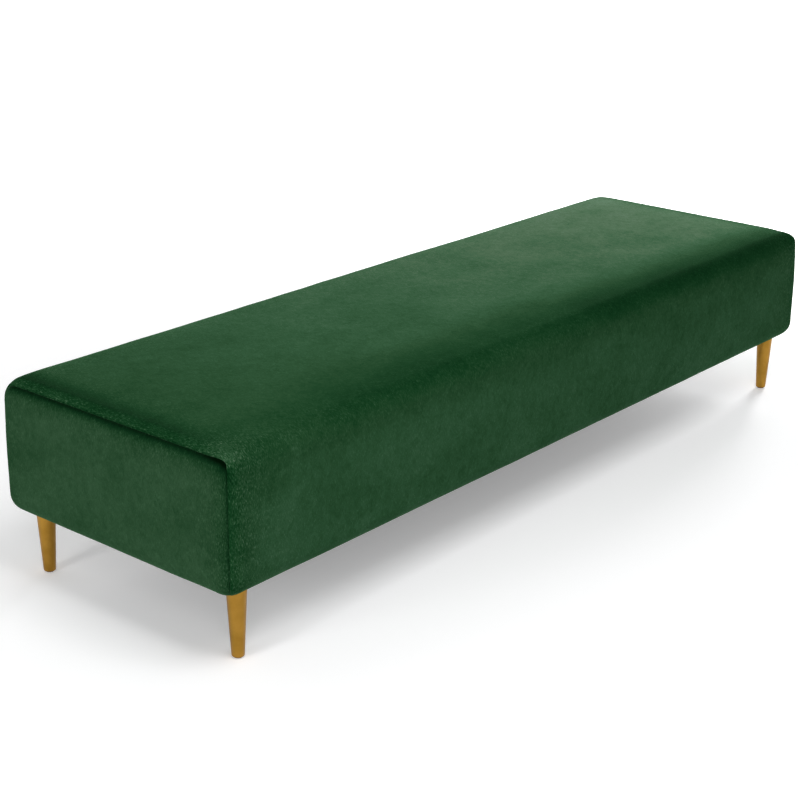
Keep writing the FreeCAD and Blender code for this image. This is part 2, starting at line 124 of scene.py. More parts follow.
def gridFaces(rows, columns, closed=False):
    # quads over a grid of points stored row by row; closed joins the last row to the first
    r = np.arange(rows if closed else rows - 1)[:, None]
    c = np.arange(columns - 1)[None, :]
    nextRow = (r + 1) % rows
    corners = [r * columns + c, r * columns + c + 1, nextRow * columns + c + 1, nextRow * columns + c]
    return np.stack([k + np.zeros_like(c + r) for k in corners], -1).reshape(-1, 4)


def mirroredStops(*runs):
    # the stops from 0 on and the same ones below 0
    half = stops(0, *runs)
    return np.concatenate([-half[:0:-1], half])


def merged(points, faces):
    # points that coincide become one, and a face that loses a corner by it becomes a triangle
    cell = np.floor(points * 200 + 0.371)  # 0.005 mm wide, and no round number lies on a cell's edge
    first, place = np.unique(cell, axis=0, return_index=True, return_inverse=True)[1:]
    shorter = [tuple(dict.fromkeys(f)) for f in place.ravel()[faces].tolist()]
    return points[first], [f for f in shorter if len(f) > 2]


def newObject(name, data):
    made = bpy.data.objects.new(name, data)
    scene.collection.objects.link(made)
    return made


def turnedTo(x, y, z, place):
    # the matrix of an object at place whose own axes point along x, y and z
    return Matrix([[x[i], y[i], z[i], place[i]] for i in range(3)] + [[0, 0, 0, 1]])


def makePiece(name, points, faces, material, values=None):
    # points in millimetres; faces as lists of corners; values: attribute name -> one number or vector a point
    mesh = bpy.data.meshes.new(name)
    mesh.from_pydata((np.asarray(points) * mm).tolist(), [], [list(f) for f in faces])
    mesh.polygons.foreach_set("use_smooth", np.ones(len(mesh.polygons), bool))
    for label, numbers in (values or {}).items():
        numbers = np.asarray(numbers, np.float32)
        vector = numbers.ndim == 2
        attribute = mesh.attributes.new(label, "FLOAT_VECTOR" if vector else "FLOAT", "POINT")
        attribute.data.foreach_set("vector" if vector else "value", numbers.ravel())
    mesh.materials.append(material)
    mesh.update()
    return newObject(name, mesh)


def thicken(piece, thickness):
    # a real thickness, grown inwards from the outer surface
    wall = piece.modifiers.new("thickness", "SOLIDIFY")
    wall.thickness = thickness * mm
    wall.offset = -1
    wall.use_even_offset = False


def softWaves(points, seed, shortest, longest, count=26):
    # a smooth uneven field from about -1 to 1: cosines along random directions, each with its own
    # wavelength between shortest and longest and its own start, added up
    rng = np.random.default_rng(seed)
    direction = rng.normal(size=(3, count))
    direction /= np.linalg.norm(direction, axis=0)
    wavelength = np.exp(rng.uniform(math.log(shortest), math.log(longest), count))
    start = rng.uniform(0, 2 * math.pi, count)
    phase = points @ (direction * 2 * math.pi / wavelength) + start
    return np.cos(phase).sum(-1) / math.sqrt(count) / 2


def bell(distance, width):
    return np.exp(-(distance / width) ** 2)


def smooth(x):
    x = np.clip(x, 0, 1)
    return x * x * (3 - 2 * x)


def easeIn(value, start, width):
    # 0 up to start, 1 from start + width on
    return smooth((value - start) / width)


def between(ends, share):
    return ends[0] + (ends[1] - ends[0]) * share


camera = {
    # where the photograph was taken from, found from the outline of the block and the legs
    "place": (-2.820, -2.216, 1.491),  # metres
    "yaw": 40.08, "pitch": 20.37, "roll": 0.52,  # degrees: turned left of +X, tipped down, rolled
    "lens": 77.0,
}
yaw, pitch, roll = (math.radians(camera[k]) for k in ("yaw", "pitch", "roll"))
ahead = np.array([math.cos(yaw) * math.cos(pitch), math.sin(yaw) * math.cos(pitch), -math.sin(pitch)])
level = np.array([math.sin(yaw), -math.cos(yaw), 0])
upright = np.cross(level, ahead)
across = math.cos(roll) * level + math.sin(roll) * upright
upwards = math.cos(roll) * upright - math.sin(roll) * level
cameraData = bpy.data.cameras.new("camera")
cameraData.lens = camera["lens"]
cameraData.clip_end = 60
cameraObject = newObject("camera", cameraData)
cameraObject.matrix_world = turnedTo(across, upwards, -ahead, camera["place"])
scene.camera = cameraObject

studio = {
    "floorColour": "f4f4f5",
    "floorReach": 20000,
    # painted light that the paper glows with for the camera and in reflections, from so many metres out to so many
    "floorLift": 0.25, "farLift": 1.0, "liftFrom": 1.05, "liftTo": 2.9,
    "surround": "ffffff", "ambient": 0.2,
    "lamps": [  # name, place and aim in metres, size in metres, watts
        ("key", (-0.8, -1.3, 2.6), (0, -0.1, 0.2), (1.5, 1.5), 39),
        ("frontLeft", (-3.0, -2.5, 2.0), (-0.3, 0, 0.3), (1.5, 1.5), 30),
        ("lowLeft", (-3.6, 0.1, 0.8), (-1.0, 0, 0.3), (1.5, 0.8), 30),
        ("farEnd", (3.0, 0.3, 0.8), (0.5, 0, 0.41), (1.6, 0.6), 66),  # grazes the top and lights up its pile
        ("farBack", (3.2, 1.8, 1.0), (0.3, 0, 0.4), (1.5, 1.0), 28),
        ("backStrip", (0, 2.6, 1.6), (0, 0, 0.4), (4.0, 1.0), 15),
    ],
}
scene.view_settings.view_transform = "Standard"

world = bpy.data.worlds.new("surroundings")
scene.world = world
world.use_nodes = True
world.node_tree.nodes.clear()
path = addNode(world, "LightPath")
seen = addNode(world, "Math", {
    0: path.outputs["Is Camera Ray"], 1: path.outputs["Is Glossy Ray"]}, operation="MAXIMUM")
seen = addNode(world, "Math", {0: seen, 1: path.outputs["Is Transmission Ray"]}, operation="MAXIMUM")
strength = addNode(world, "MapRange", {"Value": seen, "To Min": studio["ambient"], "To Max": 1.0})
sky = addNode(world, "Background", {"Color": linear(studio["surround"]), "Strength": strength})
addNode(world, "OutputWorld", {"Surface": sky})

floorPaper, place = newMaterial("whitePaperSweep")  # matt seamless paper that the camera sees go to plain white
# The paper glows, for the camera and in reflections: painted light that lifts the floor and the shadow under the bench
# by a quarter of white near it and takes the floor to full white far out
path = addNode(floorPaper, "LightPath")
seen = addNode(floorPaper, "Math", {
    0: path.outputs["Is Camera Ray"], 1: path.outputs["Is Glossy Ray"]}, operation="MAXIMUM")
away = addNode(floorPaper, "VectorMath", {0: place}, operation="LENGTH")
lift = addNode(floorPaper, "MapRange", {
    "Value": away.outputs["Value"], "From Min": studio["liftFrom"], "From Max": studio["liftTo"],
    "To Min": studio["floorLift"], "To Max": studio["farLift"]}, interpolation_type="SMOOTHSTEP")
lift = addNode(floorPaper, "Math", {0: seen, 1: lift}, operation="MULTIPLY")
paper = addNode(floorPaper, "BsdfDiffuse", {"Color": linear(studio["floorColour"])})
glow = addNode(floorPaper, "Emission", {"Color": (1, 1, 1, 1), "Strength": lift})
both = addNode(floorPaper, "AddShader", {0: paper, 1: glow})
addNode(floorPaper, "OutputMaterial", {"Surface": both})
floorPoints = np.array([(-1, -1, 0), (1, -1, 0), (1, 1, 0), (-1, 1, 0)]) * studio["floorReach"]
makePiece("floor", floorPoints, [(0, 1, 2, 3)], floorPaper)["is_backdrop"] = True

for name, place, aim, size, watts in studio["lamps"]:
    lampData = bpy.data.lights.new(name, "AREA")
    lampData.shape = "RECTANGLE"
    lampData.size, lampData.size_y = size
    lampData.energy = watts
    away = np.array(place) - np.array(aim)
    away = away / np.linalg.norm(away)
    aside = np.cross([0, 1, 0], away)
    aside = aside / np.linalg.norm(aside)
    along = np.cross(away, aside)
    newObject(name, lampData).matrix_world = turnedTo(aside, along, away, place)
print("camera, floor and lamps made")

velvetLook = {
    # Bottle-green polyester velvet, 2 mm cut pile, quite matt. The ramps run from a dark and very green root, seen
    # between open tufts and also standing for painted shade, up to a pale greyish green that is painted sheen. The
    # ends are cut across the pile, and their ramp is greyer: painted sheen
    "along": (
        (0, "020e04"), (0.125, "072c13"), (0.21, "133a1e"), (0.3, "234529"), (0.4, "2c5034"), (0.55, "3b5d42"),
        (0.75, "536c53"), (0.92, "5f7763")),
    "across": (
        (0, "020e04"), (0.125, "0c2c16"), (0.21, "1a3a21"), (0.34, "2c4a31"), (0.55, "3d5d42"), (0.92, "5f7763")),
    "middle": 0.3525,  # where the cloth's own tone lies on these ramps
    "sheen": 0.16, "sheenRoughness": 0.3, "sheenTint": "b3ffc0",
    "apart": 3.0,  # metres between the patterns of one panel and the next
    "patterns": {  # width and length along the pile in mm, detail, roughness, distortion, shift
        "patches": (150, 110, 3, 0.55, 0.5, 3.1),  # where hands have turned the pile
        "mottle": (14, 20, 4, 0.65, 0.9, 7.7),
        "strokes": (1.5, 6.5, 2, 0.6, 0.5, 0.0),  # tufts, drawn coarser than their 0.1 mm so that they show
        "fuzz": (1.1, 1.5, 1, 0.5, 0.0, 21.0),
    },
    "nap": {"patches": 0.33, "mottle": 0.4, "fuzz": 0.27},
    "relief": {"strokes": 0.4, "mottle": 0.4, "fuzz": 0.3},
    "spans": {  # a pattern, its lowest and highest value, and what they become
        "shade": ("nap", 0.37, 0.63, 0.74, 1.28),
        "stroke": ("strokes", 0.3, 0.7, -0.5, 0.5),
        # single strokes lightened: painted highlights
        "caught": ("strokes", 0.58, 0.76, 0.0, 1.7),
    },
}


def velvet(name, ramp):
    # the pile's grain follows the cloth, so its patterns read the panel's own flat coordinates in metres
    look = velvetLook
    material, place = newMaterial(name, "panelPlace")
    layAndShade = addNode(material, "Attribute", attribute_name="pileLay").outputs["Fac"]
    combed = addNode(material, "Attribute", attribute_name="pileCombed").outputs["Fac"]
    noise, spans = {}, {}
    for label, (width, length, detail, roughness, distortion, shift) in look["patterns"].items():
        spot = addNode(material, "Mapping", {
            "Vector": place, "Location": (shift, shift * 0.7, shift * 1.3),
            "Scale": (1000 / width, 1000 / length, 1.0)})
        noise[label] = addNode(material, "TexNoise", {
            "Vector": spot, "Scale": 1.0, "Detail": detail, "Roughness": roughness, "Distortion": distortion})
    for label in ("nap", "relief"):
        total = 0.0
        for pattern, weight in look[label].items():
            total = addNode(material, "Math", {0: noise[pattern], 1: weight, 2: total}, operation="MULTIPLY_ADD")
        noise[label] = total
    for label, (pattern, *ends) in look["spans"].items():
        sockets = dict(zip(("From Min", "From Max", "To Min", "To Max"), ends))
        spans[label] = addNode(material, "MapRange", {"Value": noise[pattern], **sockets})

    # How flat the pile lies, together with the painted light and shade, picks the colour. It is uneven in patches,
    # and single strokes of it stand more open or carry a painted highlight, most of all where a seam has combed it
    stroke = addNode(material, "Math", {0: spans["stroke"], 1: combed, 2: 1.0}, operation="MULTIPLY_ADD")
    stroke = addNode(material, "Math", {0: spans["caught"], 1: combed, 2: stroke}, operation="MULTIPLY_ADD")
    flat = addNode(material, "Math", {0: layAndShade, 1: spans["shade"]}, operation="MULTIPLY")
    flat = addNode(material, "Math", {0: flat, 1: stroke}, operation="MULTIPLY")
    return finishMaterial(material, (flat, *look[ramp]), (noise["relief"], 0.4, 0.0012), {
        "Roughness": 0.9, "Specular IOR Level": 0.0, "Sheen Weight": look["sheen"],
        "Sheen Roughness": look["sheenRoughness"], "Sheen Tint": linear(look["sheenTint"]),
    })


def satinGold():
    # turned aluminium, blasted fine and gold anodised: a soft broad highlight and faint turning lines
    material, place = newMaterial("satinGoldAnodisedAluminium")
    rings = addNode(material, "Mapping", {"Vector": place, "Scale": (12, 12, 1400)})  # turning lines 0.7 mm apart
    lines = addNode(material, "TexNoise", {"Vector": rings, "Scale": 1.0, "Detail": 3, "Roughness": 0.6})
    cloud = addNode(material, "TexNoise", {"Vector": place, "Scale": 38, "Detail": 3, "Roughness": 0.55})
    rough = addNode(material, "MapRange", {"Value": lines, "To Min": 0.30, "To Max": 0.44})
    return finishMaterial(material, (cloud, (0.3, "96702a"), (0.7, "a67d34")), (lines, 0.12, 0.0002), {
        "Metallic": 1.0, "Roughness": rough,
    })


def zincSteel():
    # bright zinc plate on steel: cloudy, slightly bluish, with the thread's ridges 1.25 mm apart
    material, place = newMaterial("zincPlatedSteel")
    cloud = addNode(material, "TexNoise", {"Vector": place, "Scale": 260, "Detail": 4, "Roughness": 0.6})
    turns = addNode(material, "Mapping", {"Vector": place, "Scale": (0, 0, 1 / 1.25 / mm)})
    thread = addNode(material, "TexWave", {"Vector": turns, "Scale": oneBand}, bands_direction="Z")
    rough = addNode(material, "MapRange", {"Value": cloud, "To Min": 0.25, "To Max": 0.5})
    return finishMaterial(material, (cloud, (0.3, "9a9da1"), (0.7, "c3c6c9")), (thread.outputs["Fac"], 0.6, 0.0006), {
        "Metallic": 1.0, "Roughness": rough,
    })


def blackNylon():
    # moulded nylon 6: near black, a low gloss from a fine sparked mould
    material, place = newMaterial("mouldedNylon")
    grain = addNode(material, "TexNoise", {"Vector": place, "Scale": 1600, "Detail": 2, "Roughness": 0.5})
    scuffs = addNode(material, "TexNoise", {"Vector": place, "Scale": 220, "Detail": 5, "Roughness": 0.7})
    rough = addNode(material, "MapRange", {"Value": scuffs, "To Min": 0.42, "To Max": 0.66})
    return finishMaterial(material, (scuffs, (0.35, "1c1c1d"), (0.75, "3a3a3b")), (grain, 0.3, 0.0001), {
        "Roughness": rough, "IOR": 1.53,
    })


def spunCloth():
    # spun-bonded polypropylene: loose fibres pressed flat and pinned by a grid of melted points 2.5 mm apart
    material, place = newMaterial("spunBondedPolypropylene")
    grid = addNode(material, "Mapping", {"Vector": place, "Scale": (1 / 2.5 / mm, 1 / 2.5 / mm, 0)})
    points = addNode(material, "TexVoronoi", {"Vector": grid, "Scale": 1.0, "Randomness": 0.15})
    pressed = addNode(material, "MapRange", {"Value": points.outputs["Distance"], "From Min": 0.12, "From Max": 0.3})
    fibres = addNode(material, "TexNoise", {
        "Vector": place, "Scale": 420, "Detail": 5, "Roughness": 0.75, "Distortion": 2.0})
    height = addNode(material, "Math", {0: pressed, 1: fibres}, operation="ADD")
    return finishMaterial(material, (fibres, (0.3, "101011"), (0.72, "313134")), (height, 0.5, 0.0003), {
        "Roughness": 0.86, "Specular IOR Level": 0.2,
    })


def planedWood(name, grain, pale, dark, ringSpacing):
    # planed softwood or beech: rings cut lengthwise, so long bands along the grain, with fine pores
    material, place = newMaterial(name)
    stretch = [1 / ringSpacing / mm] * 3
    stretch["xyz".index(grain)] = 1 / (ringSpacing * 45) / mm
    long = addNode(material, "Mapping", {"Vector": place, "Scale": stretch})
    rings = addNode(material, "TexNoise", {
        "Vector": long, "Scale": 0.35, "Detail": 4, "Roughness": 0.5, "Distortion": 1.1})
    pores = addNode(material, "TexNoise", {"Vector": long, "Scale": 6.0, "Detail": 2, "Roughness": 0.7})
    bands = addNode(material, "Math", {0: rings, 1: 9.0}, operation="MULTIPLY")
    bands = addNode(material, "Math", {0: bands}, operation="FRACT")
    mixed = addNode(material, "Math", {0: bands, 1: pores}, operation="MULTIPLY")
    return finishMaterial(material, (mixed, (0.05, pale), (0.62, dark)), (pores, 0.25, 0.0002), {"Roughness": 0.62})


def birchPlywood(name, through):
    # veneers 1.4 mm thick, light and dark in turn on the sawn edges, and a long faint figure on the faces
    material, place = newMaterial(name)
    stack = [0, 0, 0]
    stack["xyz".index(through)] = 1 / 2.8 / mm
    layers = addNode(material, "Mapping", {"Vector": place, "Scale": stack})
    veneers = addNode(material, "TexWave", {"Vector": layers, "Scale": oneBand, "Distortion": 0.3},
                      bands_direction=through.upper())
    grain = addNode(material, "Mapping", {"Vector": place, "Scale": (6, 60, 60)})
    figure = addNode(material, "TexNoise", {
        "Vector": grain, "Scale": 1.0, "Detail": 6, "Roughness": 0.65, "Distortion": 0.6})
    blend = addNode(material, "Mix", {0: 0.6, 2: veneers.outputs["Fac"], 3: figure}, data_type="FLOAT")
    return finishMaterial(
        material, (blend, (0.25, "b48a58"), (0.7, "dcc194")), (figure, 0.2, 0.0003), {"Roughness": 0.7})


def cutFoam():
    # open-cell polyurethane: cells of about 1 mm, cream, yellowing where air has reached it
    material, place = newMaterial("cutPolyurethaneFoam")
    cells = addNode(material, "TexVoronoi", {"Vector": place, "Scale": 1 / 1.1 / mm})
    age = addNode(material, "TexNoise", {"Vector": place, "Scale": 5, "Detail": 3, "Roughness": 0.6})
    return finishMaterial(material, (age, (0, "efe9cf"), (1, "dccf9d")), (cells, 0.8, 0.0008), {
        "Roughness": 0.95, "Specular IOR Level": 0.1,
    })


def looseWadding():
    # bonded polyester wadding: white, tangled fibres in soft clumps of 8 mm
    material, place = newMaterial("polyesterWadding")
    clumps = addNode(material, "TexNoise", {
        "Vector": place, "Scale": 120, "Detail": 6, "Roughness": 0.7, "Distortion": 1.5})
    return finishMaterial(material, (clumps, (0.3, "dddcd6"), (0.7, "f5f4f0")), (clumps, 0.9, 0.002), {
        "Roughness": 0.95, "Specular IOR Level": 0.1,
        "Sheen Weight": 0.3, "Sheen Roughness": 0.5,
    })


velvetCloth = velvet("bottleGreenVelvet", "along")
velvetEnds = velvet("bottleGreenVelvetEndsPaintedSheen", "across")
gold = satinGold()
zinc = zincSteel()
nylon = blackNylon()
spun = spunCloth()
foam = cutFoam()
waddingFibre = looseWadding()
print("materials made")

block = {
    "halfLength": 1000, "halfWidth": 310, "low": 136, "top": 410,
    "topRoll": 43, "bottomRoll": 41, "endRoll": 37,  # radii of the rolled edges, as fitted to the photograph
    "topSeamTurn": 43.5, "sideSeamTurn": 45,  # how far round the end roll the seam lies, in degrees
    "turnUnder": 85, "allowance": 3.2,  # cloth turned in at the seam
    "creaseTop": 3.9, "creaseSide": 2.4, "creaseWidth": 3.0,  # the seam's valley, deeper on top than at the corners
    "turnShare": 0.45, "turnAt": 22, "turnWidth": 30,  # less deep where it turns from the one to the other
    "hollowShare": 0.7, "hollowWidth": 9, "hollowPower": 1.4, "stitchWidth": 2,  # and the wider hollow on the end panel
    "lip": 0.7, "lipAt": 4.5, "lipWidth": 2.6,
    "pucker": 0.42, "puckerReach": 13, "puckerFrom": 2.5,
    "waves": 0.8, "wavesFrom": 60, "cornerReach": 32,
    "cornerLift": ((3.5, -3.0), (-0.2, -5.5)),  # left: front, back; right: front, back
    "cornerPoint": ((0, 0), (6.5, 0)), "pointReach": 19,  # how far it is pulled to a point, in the same order
    "cornerIn": (11, 12, 10),  # where both act from, in from the block's corner
    "liftAside": 0.25, "liftUp": 0.9, "pointAside": 0.6, "pointUp": 0.2,
    "shoulder": (1.0, 2.2),  # how far the front edge is sat down, at the left end and at the right
    "shoulderWidth": 34, "shoulderIn": 4,
    "belly": 2.4,  # how far the settled stuffing pushes the sides out low down
    "bellyBelow": 30, "bellyOver": 120, "bellyFrom": 25,
    "mitre": 48, "stretchIn": 80,
    "seamShift": 500,  # keeps the puckers of one seam apart from those of the next
    "waddingDip": 4.0, "waddingDipWidth": 12,
    "cloth": 1.6,
}
stuffing = {
    "cell": 14, "pressure": 4, "frames": 20, "evenedOut": 2,
    "limit": 3.4, "give": 16, "pressIn": 1.2, "endLimit": 1.6, "endGive": 3, "endFrom": 25,
}
b = block
rollStart = b["halfLength"] - b["endRoll"]  # where the surface starts to turn down to the end
faceStart = rollStart + b["endRoll"] * math.pi / 2  # unrolled length at the start of the flat end face
innerY = b["halfWidth"] - b["turnUnder"]
midUp = (b["low"] + b["top"]) / 2


def section(fine=1.0):
    # Half of the block's cross-section as arrays, from the middle of the underside out along it, round the
    # bottom roll, up the front side, round the top roll and in to the middle of the top: point (y, z),
    # outward direction (ny, nz), the unrolled X of the seam, the length so far, and how far round the top
    # roll a point lies, counted in mm of cloth from where the flat top ends, down the side
    lowerY, upperY = b["halfWidth"] - b["bottomRoll"], b["halfWidth"] - b["topRoll"]
    under = stops(0, (innerY, 22 * fine), (lowerY, 9 * fine))
    turn = np.radians(stops(0, (45, 7 * fine), (90, 7 * fine))[1:])
    rise = stops(b["low"] + b["bottomRoll"], (b["top"] - b["topRoll"], 24 * fine))[1:]
    turnIn = np.radians(stops(0, (45, 9 * fine), (90, 9 * fine))[1:])
    over = stops(upperY, (upperY - 40, 6 * fine), (0, 22 * fine))[1:]
    one = np.ones_like
    topTan, sideTan = (math.tan(math.radians(b[k])) for k in ("topSeamTurn", "sideSeamTurn"))
    sharp = 9  # how tight the seam turns its corner
    y = np.concatenate([under, lowerY + b["bottomRoll"] * np.sin(turn), b["halfWidth"] * one(rise),
                        upperY + b["topRoll"] * np.cos(turnIn), over])
    z = np.concatenate([b["low"] * one(under), b["low"] + b["bottomRoll"] * (1 - np.cos(turn)), rise,
                        b["top"] - b["topRoll"] * (1 - np.sin(turnIn)), b["top"] * one(over)])
    ny = np.concatenate([0 * under, np.sin(turn), one(rise), np.cos(turnIn), 0 * over])
    nz = np.concatenate([-one(under), -np.cos(turn), 0 * rise, np.sin(turnIn), one(over)])
    seamTurn = np.concatenate([
        0 * under, np.arctan(sideTan * np.sin(turn)), math.radians(b["sideSeamTurn"]) * one(rise),
        np.arctan(((sideTan * np.cos(turnIn)) ** sharp + (topTan * np.sin(turnIn)) ** sharp) ** (1 / sharp)),
        math.radians(b["topSeamTurn"]) * one(over)])
    mitre = np.concatenate([np.minimum(lowerY - under, b["mitre"]), 0 * y[len(under):]])
    length = np.concatenate([[0], np.cumsum(np.hypot(np.diff(y), np.diff(z)))])
    return {
        "y": -y, "z": z, "ny": -ny, "nz": nz, "seam": rollStart + b["endRoll"] * seamTurn - mitre,
        "length": length, "overRoll": length[len(y) - len(over) - 1] - length,
    }


def wholeSection(half, closed):
    # the half and its mirror image in Y; closed drops the doubled middle of the underside
    whole = {}
    for key, values in half.items():
        other = values[::-1][1:-1 if closed else None]
        if key in ("y", "ny"):
            other = -other
        if key == "length":
            other = 2 * values[-1] - other
        whole[key] = np.concatenate([values, other])
    return whole


def onBlock(part, unrolled):
    # A point of the block for each section row and unrolled distance from the middle along X. Up to the roll
    # it runs straight; round the roll X gains radius * sin(angle) and the section shrinks by radius * (1 - cos)
    turned = np.clip((np.abs(unrolled) - rollStart) / b["endRoll"], 0, math.pi / 2)
    way = np.sign(unrolled)
    x = way * (np.minimum(np.abs(unrolled), rollStart) + b["endRoll"] * np.sin(turned))
    shrink = b["endRoll"] * (1 - np.cos(turned))
    ny, nz = part["ny"][:, None], part["nz"][:, None]
    y, z = part["y"][:, None] - ny * shrink, part["z"][:, None] - nz * shrink
    points = np.stack([x, y + 0 * x, z + 0 * x], -1)
    outward = np.stack([way * np.sin(turned), ny * np.cos(turned), nz * np.cos(turned)], -1)
    return points, outward


def blownUp(name, points):
    # Cloth simulation of one panel, held all round where it is sewn or stapled and blown up from inside with
    # no gravity. Returns how far each point of the grid has moved, in mm, evened out over its neighbours
    rows, columns = points.shape[:2]
    held = np.zeros((rows, columns), bool)
    held[[0, -1]] = held[:, [0, -1]] = True
    trial = makePiece(name, points.reshape(-1, 3), gridFaces(rows, columns), velvetCloth)
    trial.vertex_groups.new(name="held").add(np.flatnonzero(held.ravel()).tolist(), 1.0, "REPLACE")
    cloth = trial.modifiers.new("cloth", "CLOTH")
    cloth.collision_settings.use_collision = False
    cloth.point_cache.frame_start, cloth.point_cache.frame_end = 1, stuffing["frames"]
    c = cloth.settings
    c.quality, c.mass = 5, 0.3
    c.tension_stiffness = c.compression_stiffness = 40
    c.shear_stiffness, c.bending_stiffness = 20, 1
    c.use_pressure, c.uniform_pressure_force = True, stuffing["pressure"]
    c.effector_weights.gravity = 0
    c.vertex_group_mass = "held"
    for step in range(1, stuffing["frames"] + 1):
        scene.frame_set(step)
    shaped = trial.evaluated_get(bpy.context.evaluated_depsgraph_get()).to_mesh()
    result = np.zeros(rows * columns * 3)
    shaped.vertices.foreach_get("co", result)
    scene.frame_set(1)
    bpy.data.objects.remove(trial)
    moved = result.reshape(rows, columns, 3) / mm - points
    for again in range(stuffing["evenedOut"]):
        moved[1:-1] = (moved[:-2] + 2 * moved[1:-1] + moved[2:]) / 4
        moved[:, 1:-1] = (moved[:, :-2] + 2 * moved[:, 1:-1] + moved[:, 2:]) / 4
    return moved


def growth(out, limit, give):
    # the foam holds the cloth: it moves out to no more than the limit, and in to no more than pressIn
    return np.where(out > 0, limit, -stuffing["pressIn"]) * (1 - np.exp(-np.abs(out) / give))


def lookUp(grid, rowShare, columnShare):
    # the value of a grid at shares of its height and width, in proportion from its four neighbours
    row, column = rowShare * (grid.shape[0] - 1), columnShare * (grid.shape[1] - 1)
    r = np.clip(np.floor(row).astype(int), 0, grid.shape[0] - 2)
    c = np.clip(np.floor(column).astype(int), 0, grid.shape[1] - 2)
    fr, fc = row - r, column - c
    return ((1 - fr) * ((1 - fc) * grid[r, c] + fc * grid[r, c + 1])
            + fr * ((1 - fc) * grid[r + 1, c] + fc * grid[r + 1, c + 1]))


def outerPart(part):
    # the rows that the long panel covers, from one turned-under edge to the other
    keep = (np.abs(part["y"]) > innerY - 0.01) | (part["z"] > b["low"] + 0.01)
    return {key: values[keep] for key, values in part.items()}


def swelledStrip():
    # the long panel on an even grid of rows by length and columns by share of the way to the seam
    part = outerPart(wholeSection(section(), closed=False))
    start, end = part["length"][0], part["length"][-1]
    lengths = np.linspace(start, end, round((end - start) / stuffing["cell"]))
    even = {key: np.interp(lengths, part["length"], values) for key, values in part.items()}
    shares = np.linspace(-1, 1, round(2 * rollStart / stuffing["cell"]))
    points, outward = onBlock(even, shares * even["seam"][:, None])
    out = (blownUp("stripTrial", points) * outward).sum(-1)
    return growth(out, stuffing["limit"], stuffing["give"]), (start, end)


def swelledEnd():
    # the end panel on an even grid of rows up Z and columns along Y, flat to start with
    rows = round((b["top"] - b["low"]) / stuffing["cell"])
    columns = round(2 * b["halfWidth"] / stuffing["cell"])
    z, y = np.meshgrid(
        np.linspace(b["low"], b["top"], rows), np.linspace(b["halfWidth"], -b["halfWidth"], columns), indexing="ij")
    out = np.abs(blownUp("endTrial", np.stack([0 * y + b["halfLength"], y, z], -1))[..., 0])
    return growth(out, stuffing["endLimit"], stuffing["endGive"])


stripGrowth, stripSpan = swelledStrip()
endGrowth = swelledEnd()
print(f"cover blown up: strip by {stripGrowth.max():.1f} mm, ends by {endGrowth.max():.1f} mm")


def unheld(outward):
    # 0 where the cloth is stapled flat under the frame, 1 from the bottom roll on
    return easeIn(outward[..., 2], -1, 0.3)


def facingUp(part):
    # 0 on the sides, 1 on the top
    return easeIn(part["nz"][:, None], 0.2, 0.6)


def settled(points, outward):
    # The four upper corners, each sewn a little differently: a push outwards and up that dies away, and on the
    # right front one a point. The belly of the sides. The front edge, sat down by a bell round the line where
    # the flat top ends
    x, y, z = np.moveaxis(points, -1, 0)
    corner = np.array([b["halfLength"], b["halfWidth"], b["top"]]) - b["cornerIn"]
    away = np.linalg.norm(np.abs(points) - corner, axis=-1)
    which = (x > 0).astype(int), (y > 0).astype(int)
    push = np.array(b["cornerLift"])[which] * bell(away, b["cornerReach"])
    pull = np.array(b["cornerPoint"])[which] * bell(away, b["pointReach"])
    belly = b["belly"] * smooth((b["top"] - b["bellyBelow"] - z) / b["bellyOver"]) * easeIn(z, b["low"], b["bellyFrom"])
    points = points + outward * [1, 1, 0] * belly[..., None]
    x, y, z = np.moveaxis(points, -1, 0)
    fromEdge = y + b["halfWidth"] - b["topRoll"] + (b["top"] - z)
    sat = between(b["shoulder"], smooth(x / (2 * b["halfLength"]) + 0.5))
    sat = sat * bell(fromEdge + b["shoulderIn"], b["shoulderWidth"])
    points = points - outward * np.where(y < 0, sat, 0)[..., None]
    aside = push * b["liftAside"] + pull * b["pointAside"]
    upwards = push * b["liftUp"] + pull * b["pointUp"]
    return points + np.stack([np.sign(points[..., 0]) * aside, np.sign(points[..., 1]) * aside, upwards], -1)


def uneven(points, outward, fromSeam, alongSeam):
    # long low waves of the stuffing, and puckers along the seam that die away with the distance from it
    waves = softWaves(points, seed=11, shortest=90, longest=420) * b["waves"] * easeIn(fromSeam, 0, b["wavesFrom"])
    place = np.stack([alongSeam, 0 * alongSeam, 0 * alongSeam], -1)
    puckers = softWaves(place, seed=5, shortest=9, longest=34, count=18) * b["pucker"]
    puckers = puckers * np.exp(-fromSeam / b["puckerReach"]) * (1 - np.exp(-fromSeam / b["puckerFrom"]))
    return points + outward * ((waves + puckers) * unheld(outward))[..., None]


def seamDepth(part):
    # deep along the top, shallower down the corners and shallowest where it turns from one to the other
    deep = b["creaseSide"] + (b["creaseTop"] - b["creaseSide"]) * facingUp(part)
    return deep * (1 - b["turnShare"] * bell(part["overRoll"][:, None] - b["turnAt"], b["turnWidth"]))


def finished(points, outward, fromSeam, alongSeam, dip, inset, sewn):
    # sewn cloth puckers and dips along its seam; the wadding below only sinks there, and lies deeper
    if sewn:
        points = uneven(points, outward, fromSeam, alongSeam)
        dip = dip * unheld(outward)
    else:
        dip = -b["waddingDip"] * bell(fromSeam, b["waddingDipWidth"])
    return points + outward * dip[..., None] - outward * inset


